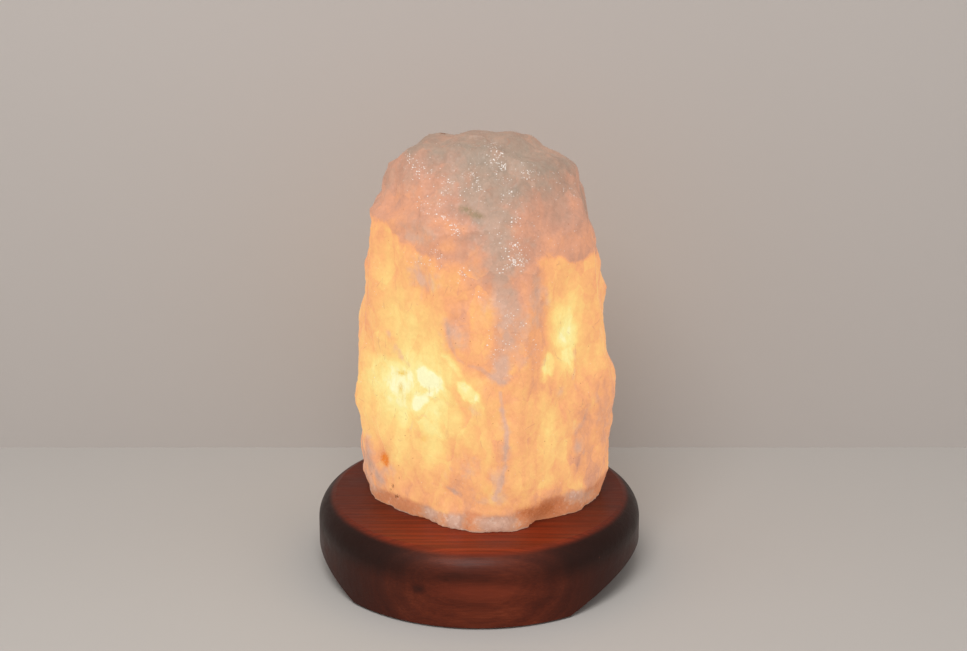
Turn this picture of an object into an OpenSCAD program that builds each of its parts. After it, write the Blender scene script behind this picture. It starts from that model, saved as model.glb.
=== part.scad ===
// Stone lamp: a rough quartz column, drilled from below, glued on a turned wooden base.
// A snap-in lamp holder with a small screw bulb is pushed up into the base from underneath.
// Millimetres, +Z up, origin on the table under the centre of the base, the viewer's side is -Y.

/* [Wooden base] */
// Diameter of the turned disc
base_d = 152; // [130:1:180]
// Thickness of the disc
base_h = 34.6; // [30:0.2:45]
// Radius of the round cutter that made the shoulder
shoulder_r = 12; // [8:0.5:16]
// How far the cutter's crown stood above the top face, which leaves a crisp edge
shoulder_over = 0.6; // [0.2:0.1:2]
// Diameter of the hole for the lamp holder
hole_d = 42; // [40:0.5:46]
// Diameter of the recess under the base
recess_d = 64; // [60:1:70]
// Depth of the recess
recess_depth = 15; // [12:0.5:18]
// Diameter of the drilled passage for the cord, to the back
cord_hole_d = 8; // [6:0.5:9]
// Height of the cord passage above the base's underside
cord_hole_up = 7.5; // [6:0.5:9]
// Distance from the axis at which the left undercut starts
left_cut_at = 53; // [52:1:66]
// Slope of the left undercut, in degrees above the table
left_cut_slope = 29; // [20:1:50]
// Direction that the left undercut faces, in degrees from +X
left_cut_faces = 175; // [165:1:195]
// Distance from the axis at which the right undercut starts
right_cut_at = 52; // [52:1:66]
// Slope of the right undercut, in degrees above the table
right_cut_slope = 29; // [20:1:50]
// Direction that the right undercut faces, in degrees from +X
right_cut_faces = -10; // [-20:1:20]

/* [Felt pads and glue] */
// Diameter of a felt pad
pad_d = 18; // [12:1:22]
// Thickness of a felt pad
pad_t = 1; // [0.8:0.1:2]
// Distance of each pad from the two centre lines
pad_out = 36; // [34:1:37]
// Thickness of the glue under the stone
glue_t = 0.5; // [0.3:0.1:1]
// Width of the ring of glue
glue_w = 15; // [6:1:17]

/* [Stone] */
// Width of the stone, left to right
stone_w = 120; // [110:1:130]
// Depth of the stone, front to back
stone_d = 101; // [92:1:112]
// Height of the stone above its sawn foot
stone_h = 175; // [150:1:200]
// How far the stone stands to the right of the base's axis
stone_right = 3; // [0:0.5:5]
// Height of the broken bevel round the foot
bevel_h = 9; // [4:0.5:14]
// How far the bevel draws the foot in
bevel_in = 1.6; // [0.8:0.2:4]
// Height of the creases on the stone's broken faces
crag = 1.2; // [0:0.1:2]
// Diameter of the hole drilled for the bulb
cavity_d = 44; // [42:0.5:48]
// Depth of that hole
cavity_depth = 88; // [80:1:100]

/* [Lamp holder] */
// Diameter of the steel plate
plate_d = 56; // [52:1:59]
// Thickness of the plate
plate_t = 1; // [0.8:0.1:1.5]
// Diameter of the wire hole in the plate
wire_hole_d = 9; // [6:0.5:12]
// Thickness of a spring clip
clip_t = 0.5; // [0.4:0.1:0.8]
// Width of a spring clip
clip_w = 7; // [5:0.5:9]
// Height of a spring clip's knuckle above the plate
clip_knee = 12.5; // [9:0.5:14]
// Number of spring clips
clips = 3; // [3:1:4]
// Outer diameter of the riser tube
riser_d = 21; // [20:0.2:22]
// Wall of the riser tube
riser_wall = 1.3; // [1:0.1:1.6]
// Height of the riser tube above the plate
riser_h = 50; // [44:0.5:56]
// Diameter of the riser's flange
flange_d = 28; // [27.6:0.2:28.8]
// Thickness of the flange
flange_t = 3; // [2:0.5:4]
// Height of the socket's moulded core
core_h = 25; // [24:0.5:28]
// Thickness of the core's floor
core_floor = 4; // [3:0.2:5]
// Width of the rim by which the core hangs on the riser
core_rim = 1.5; // [1:0.1:2]
// Diameter of the two flange screws
screw_d = 2.5; // [2:0.1:3]
// Travel of the sprung centre contact, which is one turn of the bulb's thread
plunger_travel = 2.54; // [2:0.02:3]
// Length of the contact spring under the bulb
spring_h = 2.8; // [2.4:0.1:4]
// Diameter of the wire of the contact spring
spring_wire = 0.4; // [0.3:0.05:0.5]
// Turns of the contact spring
spring_turns = 3; // [2:0.5:4]

/* [Bulb] */
// Outer diameter of the screw cap
cap_d = 11.9; // [11.5:0.1:12]
// Length of the screw cap
cap_h = 14.5; // [13:0.5:16]
// Thickness of the brass, also of the socket's screw shell
brass_t = 0.4; // [0.3:0.05:0.6]
// Diameter of the glass
glass_d = 22.5; // [20:0.5:26]
// Height of the glass above the cap
glass_h = 38; // [34:0.5:42]
// Wall of the glass
glass_wall = 0.6; // [0.5:0.1:1]
// Width of the filament between its two leads
filament_w = 8; // [6:0.5:9]

/* [Fits] */
// Play between parts that slide or turn in each other
play = 0.25; // [0.15:0.05:0.35]
// Gap that a part keeps from the wall that it is pushed into
seat_gap = 0.3; // [0.2:0.05:0.4]

/* [Hidden] */
$fn = 96;
eps = 0.01;

// Levels, from the table up
base_z = pad_t;
ceiling_z = base_z + recess_depth;
top_z = base_z + base_h;
stone_z = top_z + glue_t;
plate_z = ceiling_z - plate_t;
core_top_z = ceiling_z + riser_h;
core_z = core_top_z - core_h;
floor_z = core_z + core_floor;
guide_top_z = floor_z + 0.3;
plunger_head_h = 1;
plunger_head_z = guide_top_z + spring_h;
contact_z = plunger_head_z + plunger_head_h;
cap_z = contact_z + 2.4;
cap_top_z = cap_z + cap_h;
glass_z = cap_top_z - 3;

// Radii that mate
riser_in_r = riser_d / 2 - riser_wall;
core_r = riser_in_r - play / 2;
shell_in_r = cap_d / 2 + play;
shell_out_r = shell_in_r + brass_t;
core_in_r = shell_out_r + play / 2;
screw_at = (riser_d / 2 + flange_d / 2) / 2;

function polar(r, a) = [r * cos(a), r * sin(a)];

// Points of a helix: radius, pitch, turns, points per turn
function helix(r, pitch, turns, per_turn) =
    [for (i = [0 : turns * per_turn])
        let (a = 360 * i / per_turn) [r * cos(a), r * sin(a), pitch * a / 360]];

// A round wire swept along a list of points, with flat ends
module wire(path, d, sides) {
    n = len(path);
    unit = function (v) v / norm(v);
    dirs = [for (i = [0 : n - 1]) unit(path[min(i + 1, n - 1)] - path[max(i - 1, 0)])];
    points = [for (i = [0 : n - 1], k = [0 : sides - 1])
        let (side = unit(cross(dirs[i], abs(dirs[i].z) > 0.9 ? [1, 0, 0] : [0, 0, 1])),
             up = cross(side, dirs[i]))
        path[i] + d / 2 * (cos(360 * k / sides) * side + sin(360 * k / sides) * up)];
    walls = [for (i = [0 : n - 2], k = [0 : sides - 1], half = [0, 1])
        let (a = i * sides + k, b = i * sides + (k + 1) % sides)
        half == 0 ? [a, b, b + sides] : [a, b + sides, a + sides]];
    polyhedron(points, concat(walls,
        [[for (k = [sides - 1 : -1 : 0]) k]],
        [[for (k = [0 : sides - 1]) (n - 1) * sides + k]]), convexity = 10);
}

// Both sides of a bent strip of thickness t, drawn along a list of flat points
function bent_strip(path, t) =
    let (n = len(path),
         unit = function (v) v / norm(v),
         left = function (v) [-v.y, v.x],
         side = [for (i = [0 : n - 1])
             let (a = left(unit(path[max(i, 1)] - path[max(i, 1) - 1])),
                  b = left(unit(path[min(i + 1, n - 1)] - path[min(i, n - 2)])))
             (a + b) / (1 + a * b) * t / 2])
    concat([for (i = [0 : n - 1]) path[i] + side[i]],
           [for (i = [n - 1 : -1 : 0]) path[i] - side[i]]);

// The wooden base: a turned disc, its shoulder rounded, with an undercut on each side
module undercut(faces, at, slope) {
    reach = base_d;
    rotate([0, 0, faces]) translate([0, 0, base_z]) rotate([90, 0, 0])
        linear_extrude(height = 2 * reach, center = true)
            polygon([[at, -eps], [at + eps, -eps], [reach, -eps], [reach, (reach - at) * tan(slope)]]);
}

module base_profile() {
    wall_h = base_h + shoulder_over - shoulder_r;
    square([base_d / 2 - shoulder_r, base_h]);
    square([base_d / 2, wall_h]);
    intersection() {
        translate([base_d / 2 - shoulder_r, wall_h]) circle(r = shoulder_r);
        square([base_d / 2, base_h]);
    }
}

module wood_base() {
    color([0.36, 0.13, 0.07]) difference() {
        translate([0, 0, base_z]) rotate_extrude() base_profile();
        translate([0, 0, base_z - eps]) cylinder(d = hole_d, h = base_h + 2 * eps);
        translate([0, 0, base_z - eps]) cylinder(d = recess_d, h = recess_depth + eps);
        translate([0, 0, base_z + cord_hole_up]) rotate([-90, 0, 0])
            cylinder(d = cord_hole_d, h = base_d);
        undercut(left_cut_faces, left_cut_at, left_cut_slope);
        undercut(right_cut_faces, right_cut_at, right_cut_slope);
    }
}

module felt_pads() {
    color([0.1, 0.09, 0.08])
        for (x = [-pad_out, pad_out], y = [-pad_out, pad_out])
            translate([x, y, 0]) cylinder(d = pad_d, h = pad_t);
}

module glue_ring() {
    inner_r = cavity_d / 2 + 1.5;
    color([0.85, 0.83, 0.78]) translate([stone_right, 0, top_z]) difference() {
        cylinder(r = inner_r + glue_w, h = glue_t);
        translate([0, 0, -eps]) cylinder(r = inner_r, h = glue_t + 2 * eps);
    }
}

// The stone: fracture faces, each [direction, tilt above the horizontal, fullness].
// A fullness of 1 puts the face against the ellipsoid of the stone's half width, depth and height.
stone_faces = [
    // right side, from the foot up
    [-8, -2, 0.985], [-4, 6, 0.885], [2, 15, 0.92], [-2, 60, 0.99],
    // left side
    [184, -3, 1.01], [184, 4, 0.92], [178, 20, 1.04], [180, 56, 1.09],
    // towards the viewer
    [-149, -1, 0.91], [-130, 1, 0.84], [-113, -2, 0.915], [-88, -5, 1.12], [-92, 9, 0.90],
    [-45, 2, 0.84], [-24, 0, 0.95],
    // broken crown, towards the viewer
    [-135, 33, 1.02], [-96, 42, 0.92], [-62, 27, 0.93], [-32, 40, 0.985],
    // top
    [-72, 77, 0.955], [82, 80, 0.976], [-148, 64, 1.075], [-20, 70, 0.961],
    // back
    [92, 3, 0.94], [52, 5, 0.96], [130, 6, 0.95], [24, -2, 0.965], [156, 3, 0.95],
    [60, 36, 0.97], [118, 32, 0.97], [14, 46, 1.03], [150, 48, 1.075], [88, 55, 0.97]];

// Local swellings and hollows: [direction, height, rise, half width, half height]. Directions are
// in degrees, heights are shares of the stone's height and rises are shares of its width.
stone_lumps = [
    [-6, 0.30, 0.028, 26, 0.07], [184, 0.38, 0.012, 30, 0.15], [-88, 0.27, 0.015, 14, 0.17],
    [-104, 0.67, -0.017, 22, 0.13], [-28, 0.50, -0.017, 20, 0.10], [-58, 0.67, -0.015, 18, 0.14],
    [-140, 0.49, -0.013, 20, 0.14], [70, 0.42, 0.020, 22, 0.10], [122, 0.60, -0.018, 20, 0.12]];

// Ledges, above which a slab has broken away: [direction, half width, height, step, run]
stone_ledges = [[196, 42, 0.80, 0.036, 0.025], [-30, 36, 0.70, 0.014, 0.04], [96, 44, 0.66, 0.022, 0.03]];

// Creases of the broken surface: directions across them, in creases per half size of the stone
crease_a = [1.7, 0.9, 1.1];
crease_b = [-1.1, 2.3, 1.9];
crease_c = [2.9, -1.3, 0.7];
crease_d = [0.6, 1.9, -3.7];

half = [stone_w, stone_d, stone_h] / 2;
foot = -half.z;
turn_z = 0.5 * half.z;
stone_columns = 64;
wall_rows = 32;
crown_rows = 15;

function face_normal(f) = [cos(f[0]) * cos(f[1]), sin(f[0]) * cos(f[1]), sin(f[1])];
face_normals = [for (f = stone_faces) face_normal(f)];
face_reaches = [for (f = stone_faces)
    let (n = face_normal(f)) f[2] * norm([n.x * half.x, n.y * half.y, n.z * half.z])];

// Distance to the nearest fracture face, along a ray
function to_face(from, dir) =
    min([for (i = [0 : len(stone_faces) - 1])
        let (across = face_normals[i] * dir)
        if (across > 0.02) (face_reaches[i] - face_normals[i] * from) / across]);

function total(list) = list * [for (v = list) 1];
function bell(x) = exp(-x * x);
function step_up(x) = min(1, max(0, x));
function fold(x) = 4 * abs(x - floor(x + 0.5)) - 1;
function turned(a, b) = (a - b + 540) % 360 - 180;

function lumps(a, up) = stone_w * total([for (l = stone_lumps)
    l[2] * bell(turned(a, l[0]) / l[3]) * bell((up / stone_h - l[1]) / l[4])]);
function ledges(a, up) = stone_w * total([for (l = stone_ledges)
    l[3] * bell(turned(a, l[0]) / l[1]) * step_up((up / stone_h - l[2]) / l[4])]);

// Height of the creased surface at a point p of the stone, in millimetres
function creases(p) =
    let (q = [p.x / half.x, p.y / half.y, p.z / half.z])
    crag * (0.9 * fold(q * crease_a + 0.1) * fold(q * crease_b)
            + 0.7 * fold(q * crease_c + 0.35) + 0.5 * fold(q * crease_d + 0.6));

// One point of the stone's skin: a ray leaves the stone's axis at height z, elevation e, direction a
function stone_point(a, z, e) =
    let (dir = [cos(e) * cos(a), cos(e) * sin(a), sin(e)],
         far = to_face([0, 0, z], dir),
         up = z + far * sin(e) - foot,
         bevel = bevel_in * max(0, 1 - up / bevel_h),
         r = far + creases([far * dir.x, far * dir.y, z + far * dir.z])
             + cos(e) * (lumps(a, up) - ledges(a, up) - bevel))
    [r * dir.x, r * dir.y, z + r * dir.z];

stone_rows = concat(
    [[foot, 0], [foot + bevel_h / 2, 0]],
    [for (i = [0 : wall_rows]) [foot + bevel_h + (turn_z - foot - bevel_h) * i / wall_rows, 0]],
    [for (i = [1 : crown_rows]) [turn_z, 90 * i / (crown_rows + 1)]]);

module stone_block() {
    rows = len(stone_rows);
    cols = stone_columns;
    points = concat(
        [for (row = stone_rows, k = [0 : cols - 1]) stone_point(360 * k / cols, row[0], row[1])],
        [stone_point(0, turn_z, 90)]);
    walls = [for (j = [0 : rows - 2], k = [0 : cols - 1], side = [0, 1])
        let (a = j * cols + k, b = j * cols + (k + 1) % cols)
        side == 0 ? [a, b + cols, b] : [a, a + cols, b + cols]];
    last = (rows - 1) * cols;
    crown = [for (k = [0 : cols - 1]) [last + k, rows * cols, last + (k + 1) % cols]];
    polyhedron(points, concat(walls, crown, [[for (k = [0 : cols - 1]) k]]), convexity = 6);
}

module quartz_stone() {
    color([0.95, 0.66, 0.48]) difference() {
        translate([stone_right, 0, stone_z + half.z]) stone_block();
        translate([0, 0, stone_z - eps]) cylinder(d = cavity_d, h = cavity_depth + eps);
    }
}

// The steel plate, its spring clips and rivets
rivet_d = 2.4;
clip_foot_in = flange_d / 2 + 0.8;
clip_reach = sqrt(pow(hole_d / 2 - seat_gap, 2) - pow(clip_w / 2, 2)) - 0.6 * clip_t;
rivet_at = (clip_foot_in + clip_reach) / 2 + 0.6;

module at_clips() {
    for (i = [0 : clips - 1]) rotate([0, 0, -90 + 360 * i / clips]) children();
}

module clip_plate() {
    color([0.72, 0.73, 0.75]) translate([0, 0, plate_z]) difference() {
        cylinder(d = plate_d, h = plate_t);
        translate([0, 0, -eps]) cylinder(d = wire_hole_d, h = plate_t + 2 * eps);
        for (side = [-1, 1]) translate([side * screw_at, 0, -eps])
            cylinder(d = screw_d + play, h = plate_t + 2 * eps);
        at_clips() translate([rivet_at, 0, -eps]) cylinder(d = rivet_d, h = plate_t + 2 * eps);
    }
}

module spring_clips() {
    path = [[clip_reach - 0.3, clip_t / 2], [clip_foot_in, clip_t / 2],
            [clip_reach, clip_knee], [clip_reach - 3, clip_knee + 6]];
    color([0.62, 0.64, 0.67]) at_clips() translate([0, 0, ceiling_z]) difference() {
        rotate([90, 0, 0]) linear_extrude(height = clip_w, center = true)
            polygon(bent_strip(path, clip_t));
        translate([rivet_at, 0, -eps]) cylinder(d = rivet_d, h = clip_t + 2 * eps);
    }
}

module clip_rivets() {
    head = 0.7;
    color([0.55, 0.56, 0.58]) at_clips() translate([rivet_at, 0, plate_z - head]) {
        cylinder(d = rivet_d, h = head + plate_t + clip_t);
        cylinder(d1 = rivet_d, d2 = 2 * rivet_d, h = head);
        translate([0, 0, head + plate_t + clip_t])
            cylinder(d1 = 1.5 * rivet_d, d2 = rivet_d, h = head / 2);
    }
}

// The riser tube carries the socket's core at its upper end
ledge_w = 1.6;

module riser_tube() {
    color([0.93, 0.92, 0.88]) translate([0, 0, ceiling_z]) difference() {
        union() {
            cylinder(d = riser_d, h = riser_h);
            cylinder(d = flange_d, h = flange_t);
        }
        translate([0, 0, riser_h - core_h]) cylinder(r = riser_in_r, h = core_h + eps);
        translate([0, 0, -eps]) cylinder(r = riser_in_r - ledge_w, h = riser_h);
        for (side = [-1, 1]) translate([side * screw_at, 0, -eps])
            cylinder(d = screw_d, h = flange_t + 2 * eps);
    }
}

module riser_screws() {
    head_h = 1.4;
    slot_w = 0.6;
    color([0.75, 0.76, 0.78]) for (side = [-1, 1])
        translate([side * screw_at, 0, plate_z - head_h]) difference() {
            union() {
                cylinder(d = screw_d, h = head_h + plate_t + flange_t);
                cylinder(d = 2 * screw_d - 0.6, h = head_h);
            }
            translate([-screw_d, -slot_w / 2, -eps]) cube([2 * screw_d, slot_w, head_h / 2]);
        }
}

// The socket: a moulded core that hangs by its rim, with the screw shell inside
guide_d = 4;
guide_bore_d = 2.6;
terminal_t = 0.6;
terminal_screw_d = 2;
terminal_hole_down = 3;
terminal_w = 5.2;
rivet_x = core_in_r - 2.6;
shell_rivet_d = 1.8;

module socket_core() {
    rim_h = 1.2;
    color([0.16, 0.15, 0.15]) difference() {
        union() {
            translate([0, 0, core_z]) cylinder(r = core_r, h = core_h);
            translate([0, 0, core_top_z]) cylinder(r = core_r + core_rim, h = rim_h);
        }
        translate([0, 0, floor_z]) cylinder(r = core_in_r, h = core_h);
        translate([0, 0, core_z - eps]) cylinder(d = guide_d, h = core_h);
        translate([rivet_x, 0, core_z - eps]) cylinder(d = shell_rivet_d, h = core_h);
    }
}

module screw_shell() {
    shell_h = core_top_z - floor_z - 0.5;
    color([0.83, 0.66, 0.28]) translate([0, 0, floor_z]) difference() {
        cylinder(r = shell_out_r, h = shell_h);
        translate([0, 0, brass_t]) cylinder(r = shell_in_r, h = shell_h);
        translate([0, 0, -eps]) cylinder(d = guide_d + 1.6, h = 2 * brass_t);
        translate([rivet_x, 0, -eps]) cylinder(d = shell_rivet_d, h = 2 * brass_t);
    }
}

module shell_rivet() {
    head = 0.4;
    color([0.78, 0.62, 0.3]) translate([rivet_x, 0, core_z - terminal_t - head]) {
        cylinder(d = shell_rivet_d, h = core_floor + terminal_t + brass_t + head);
        cylinder(d = shell_rivet_d + 0.5, h = head);
        translate([0, 0, core_floor + terminal_t + brass_t + head])
            cylinder(d1 = shell_rivet_d + 0.6, d2 = shell_rivet_d, h = head);
    }
}

// A brass terminal under the core's floor: a tab with its rivet hole, bent down, with a tapped foot
module terminal(inner, outer, hole_at, hole_d) {
    drop = 5;
    color([0.83, 0.66, 0.28]) difference() {
        union() {
            translate([inner, -terminal_w / 2, core_z - terminal_t])
                cube([outer - inner, terminal_w, terminal_t]);
            translate([outer - terminal_t, -terminal_w / 2, core_z - drop])
                cube([terminal_t, terminal_w, drop]);
        }
        translate([hole_at, 0, core_z - 2 * terminal_t]) cylinder(d = hole_d, h = 3 * terminal_t);
        translate([outer - 2 * terminal_t, 0, core_z - terminal_hole_down]) rotate([0, 90, 0])
            cylinder(d = terminal_screw_d, h = 3 * terminal_t);
    }
}

terminal_out = riser_in_r - ledge_w - 1.6;

module side_terminal() {
    terminal(rivet_x - 1.1, terminal_out, rivet_x, shell_rivet_d);
}

module centre_terminal() {
    mirror([1, 0, 0]) terminal(-2.4, terminal_out, 0, guide_d);
}

module terminal_screws() {
    tip = 0.6;
    color([0.8, 0.68, 0.36]) for (side = [-1, 1])
        translate([side * terminal_out, 0, core_z - terminal_hole_down]) rotate([0, 90 * side, 0]) {
            translate([0, 0, -terminal_t - tip]) cylinder(d = terminal_screw_d, h = terminal_t + tip);
            cylinder(d = 3.4, h = 1.2);
        }
}

// The centre contact: a guide eyelet, a plunger and the spring that lifts it
guide_flange = 0.4;
guide_bottom_z = core_z - terminal_t - guide_flange;

module plunger_guide() {
    color([0.83, 0.66, 0.28]) translate([0, 0, guide_bottom_z]) difference() {
        union() {
            cylinder(d = guide_d, h = guide_top_z - guide_bottom_z);
            cylinder(d = guide_d + 1, h = guide_flange);
        }
        translate([0, 0, -eps]) cylinder(d = guide_bore_d, h = core_h);
    }
}

spring_mean_r = 1.75;

module contact_spring() {
    pitch = (spring_h - spring_wire - 0.2) / spring_turns;
    color([0.8, 0.8, 0.82])
        translate([0, 0, guide_top_z + spring_wire / 2 + 0.1])
            wire(helix(spring_mean_r, pitch, spring_turns, 12), spring_wire, 6);
    echo(contact_spring_gap_between_turns = pitch - spring_wire);
}

module contact_plunger() {
    stem_play = 0.08;
    tail_h = 0.5;
    tail_z = guide_bottom_z - plunger_travel - 0.1 - tail_h;
    color([0.85, 0.7, 0.35]) {
        translate([0, 0, tail_z]) cylinder(d = guide_bore_d - 2 * stem_play, h = plunger_head_z - tail_z);
        translate([0, 0, tail_z]) cylinder(d = guide_bore_d + 0.8, h = tail_h);
        translate([0, 0, plunger_head_z]) cylinder(d = 5, h = plunger_head_h);
    }
}

// The bulb, from its contact up
module bulb_contact() {
    color([0.7, 0.7, 0.7]) translate([0, 0, contact_z + seat_gap / 3]) {
        cylinder(d1 = 2.4, d2 = 3.6, h = 0.8 - seat_gap / 3);
    }
}

module bulb_insulator() {
    color([0.08, 0.08, 0.1]) translate([0, 0, contact_z + 0.8])
        cylinder(d1 = 5, d2 = cap_d - 2 * brass_t - 0.6, h = cap_z - contact_z - 0.8 + brass_t);
}

module bulb_cap() {
    color([0.86, 0.72, 0.4]) translate([0, 0, cap_z]) difference() {
        cylinder(d = cap_d, h = cap_h);
        translate([0, 0, brass_t]) cylinder(d = cap_d - 2 * brass_t, h = cap_h);
        translate([0, 0, -eps])
            cylinder(d1 = cap_d - 2 * brass_t - 1.6, d2 = cap_d - 2 * brass_t - 0.55, h = brass_t + 2 * eps);
    }
}

// Half outline of the glass: neck, pear and round crown, moved inwards by inset
neck_r = cap_d / 2 - brass_t - 0.1;
pear_r = glass_d / 2;
pear_z = glass_h + (cap_top_z - glass_z) - pear_r;

function glass_outline(inset) =
    let (steps = 12, neck_top = cap_top_z - glass_z + 1,
         swell = [for (i = [0 : steps])
             let (t = i / steps, s = t * t * (3 - 2 * t))
             [neck_r + (pear_r - neck_r) * s - inset, neck_top + (pear_z - neck_top) * t]],
         crown = [for (i = [1 : steps - 1]) let (a = 90 * i / steps)
             [(pear_r - inset) * cos(a), pear_z + (pear_r - inset) * sin(a)]])
    concat([[0, inset], [neck_r - inset, inset]], swell, crown, [[0, pear_z + pear_r - inset]]);

module bulb_glass() {
    color([1, 0.98, 0.9, 0.4]) translate([0, 0, glass_z]) difference() {
        rotate_extrude() polygon(glass_outline(0));
        rotate_extrude() polygon(glass_outline(glass_wall));
    }
}

stem_top_z = cap_top_z + 12;

module bulb_stem() {
    color([0.9, 0.95, 0.95, 0.6]) translate([0, 0, glass_z + glass_wall]) {
        cylinder(r1 = neck_r - glass_wall - 0.4, r2 = 1.8, h = 5);
        cylinder(r = 1.8, h = stem_top_z - glass_z - glass_wall);
    }
}

filament_z = stem_top_z + 10;

module bulb_leads() {
    bend = stem_top_z - 2;
    color([0.75, 0.72, 0.65]) for (side = [-1, 1])
        wire([[side * 2.05, 0, bend - 6], [side * 2.05, 0, bend], [side * filament_w / 4, 0, bend + 4],
              [side * filament_w / 2, 0, filament_z - 3], [side * filament_w / 2, 0, filament_z + 0.6]], 0.4, 8);
}

module bulb_filament() {
    turns = 10;
    gap = 0.35;
    length = filament_w - 2 * gap;
    color([0.4, 0.4, 0.42])
        translate([-length / 2, 0, filament_z]) rotate([0, 90, 0])
            wire(helix(0.6, length / turns, turns, 8), 0.25, 5);
}

wood_base();
felt_pads();
glue_ring();
quartz_stone();
clip_plate();
spring_clips();
clip_rivets();
riser_tube();
riser_screws();
socket_core();
screw_shell();
shell_rivet();
side_terminal();
centre_terminal();
terminal_screws();
plunger_guide();
contact_spring();
contact_plunger();
bulb_contact();
bulb_insulator();
bulb_cap();
bulb_glass();
bulb_stem();
bulb_leads();
bulb_filament();
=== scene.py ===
"""Looks of a lit stone table lamp: a rough quartz column, drilled from below, on a turned wooden base."""
import math

import bpy
import numpy as np
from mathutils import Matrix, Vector


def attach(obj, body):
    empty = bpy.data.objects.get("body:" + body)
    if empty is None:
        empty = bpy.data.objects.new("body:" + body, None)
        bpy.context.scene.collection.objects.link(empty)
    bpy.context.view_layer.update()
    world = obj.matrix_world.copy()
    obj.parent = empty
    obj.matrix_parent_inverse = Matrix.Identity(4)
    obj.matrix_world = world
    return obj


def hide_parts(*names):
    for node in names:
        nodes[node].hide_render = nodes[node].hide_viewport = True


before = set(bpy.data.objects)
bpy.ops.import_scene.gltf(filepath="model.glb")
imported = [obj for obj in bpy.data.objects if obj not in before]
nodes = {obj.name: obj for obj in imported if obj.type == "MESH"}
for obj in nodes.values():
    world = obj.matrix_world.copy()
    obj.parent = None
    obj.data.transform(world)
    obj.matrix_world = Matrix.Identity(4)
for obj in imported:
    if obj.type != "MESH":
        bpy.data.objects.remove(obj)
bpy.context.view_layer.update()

# Viewer. Someone stands in front of the table and looks down at the lamp, a little over a metre
# away, through a long lens.
MM = 0.001
scene = bpy.context.scene
sight_down = math.radians(19.4)
sight_length = 1100.0
sight_mid = np.array([2.04, 0.0, 118.46])
sight_from = sight_mid + sight_length * np.array([0.0, -math.cos(sight_down), math.sin(sight_down)])

camera = bpy.data.objects.new("viewer", bpy.data.cameras.new("viewer"))
scene.collection.objects.link(camera)
camera.location = sight_from * MM
camera.rotation_euler = (math.pi / 2 - sight_down, 0.0, 0.0)
camera.data.sensor_width = 36.0
camera.data.lens = 88.447
scene.camera = camera

# Wooden base. One disc of reddish hardwood, turned, with a rounded shoulder and two undercuts;
# stained mahogany and given a satin lacquer. The growth rings lie along the board, left to right,
# and show as long arcs on the front, because the tree's pith lay in front of it.
base_r = 76.0
base_top = 35.6
pith_y, pith_z = -96.0, 24.0
ring_gap = 5.0


def written(r, g, b):
    """A colour as written from 0 to 255 on a screen, made linear for the shader."""
    v = np.array([r, g, b]) / 255.0
    v = np.where(v <= 0.04045, v / 12.92, ((v + 0.055) / 1.055) ** 2.4)
    return (*v.tolist(), 1.0)


def finish(name, **plain):
    """A new material with plain values on its Principled shader: returns it, its tree and the shader."""
    made = bpy.data.materials.new(name)
    made.use_nodes = True
    shader = made.node_tree.nodes["Principled BSDF"]
    for socket, value in plain.items():
        shader.inputs[socket.replace("_", " ")].default_value = value
    return made, made.node_tree, shader


def add(tree, kind, wired=(), **settings):
    """A node with its settings; wired gives its inputs, each a value or another node's socket."""
    made = tree.nodes.new("ShaderNode" + kind)
    for key, value in settings.items():
        setattr(made, key, value)
    for key, value in dict(wired).items():
        if isinstance(value, bpy.types.NodeSocket):
            tree.links.new(value, made.inputs[key])
        else:
            made.inputs[key].default_value = value
    return made


def place(tree, stretch=(1, 1, 1)):
    """The point of the piece in millimetres, divided by stretch on each axis."""
    at = add(tree, "TexCoord").outputs["Object"]
    scale = [1.0 / (MM * s) for s in stretch]
    return add(tree, "Mapping", {"Vector": at, "Scale": scale}).outputs["Vector"]


def axes(tree):
    """The point of the piece in millimetres, as its X, Y and Z."""
    return add(tree, "SeparateXYZ", {"Vector": place(tree)}).outputs


def noise(tree, at, size, detail=3.0, rough=0.55, warp=0.0):
    """Cloudy noise from 0 to 1, whose lumps are size units wide."""
    made = add(tree, "TexNoise", {"Vector": at, "Scale": 1.0 / size, "Detail": detail,
                                  "Roughness": rough, "Distortion": warp})
    return made.outputs["Fac"]


def lumps(tree, sizes, detail=3.0, rough=0.55, warp=0.0):
    """Cloudy noise from 0 to 1, whose lumps have these sizes in millimetres along X, Y and Z."""
    return noise(tree, place(tree, sizes), 1.0, detail, rough, warp)


def remap(tree, value, low, high, to_low=0.0, to_high=1.0, smooth=False):
    """A value moved from the range low..high to the range to_low..to_high, held at its ends."""
    made = add(tree, "MapRange", {"Value": value, "From Min": low, "From Max": high,
                                  "To Min": to_low, "To Max": to_high},
               interpolation_type="SMOOTHSTEP" if smooth else "LINEAR")
    return made.outputs["Result"]


def sums(tree, kind, a, b=0.0, c=0.0):
    """One sum on values: ADD, MAXIMUM, MULTIPLY_ADD and so on."""
    return add(tree, "Math", {0: a, 1: b, 2: c}, operation=kind).outputs[0]


def times(tree, a, b):
    """The product of two values."""
    return sums(tree, "MULTIPLY", a, b)


def vectors(tree, kind, a, b=(0, 0, 0), scale=1.0):
    """One sum on vectors or colours: ADD, SCALE, DISTANCE and so on."""
    made = add(tree, "VectorMath", {0: a, 1: b, 3: scale}, operation=kind)
    return made.outputs["Value" if kind in ("DISTANCE", "DOT_PRODUCT") else "Vector"]


def mixed(tree, share, a, b):
    """Colour a turned to colour b by a share from 0 to 1. The node's sockets for colours are 6 and 7,
    and 2 on its way out."""
    return add(tree, "Mix", {0: share, 6: a, 7: b}, data_type="RGBA").outputs[2]


def painted(tree, colour, *layers):
    """A colour under layers of paint, each (share from 0 to 1, its colour as written)."""
    for share, tint in layers:
        colour = mixed(tree, share, colour, written(*tint))
    return colour


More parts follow.
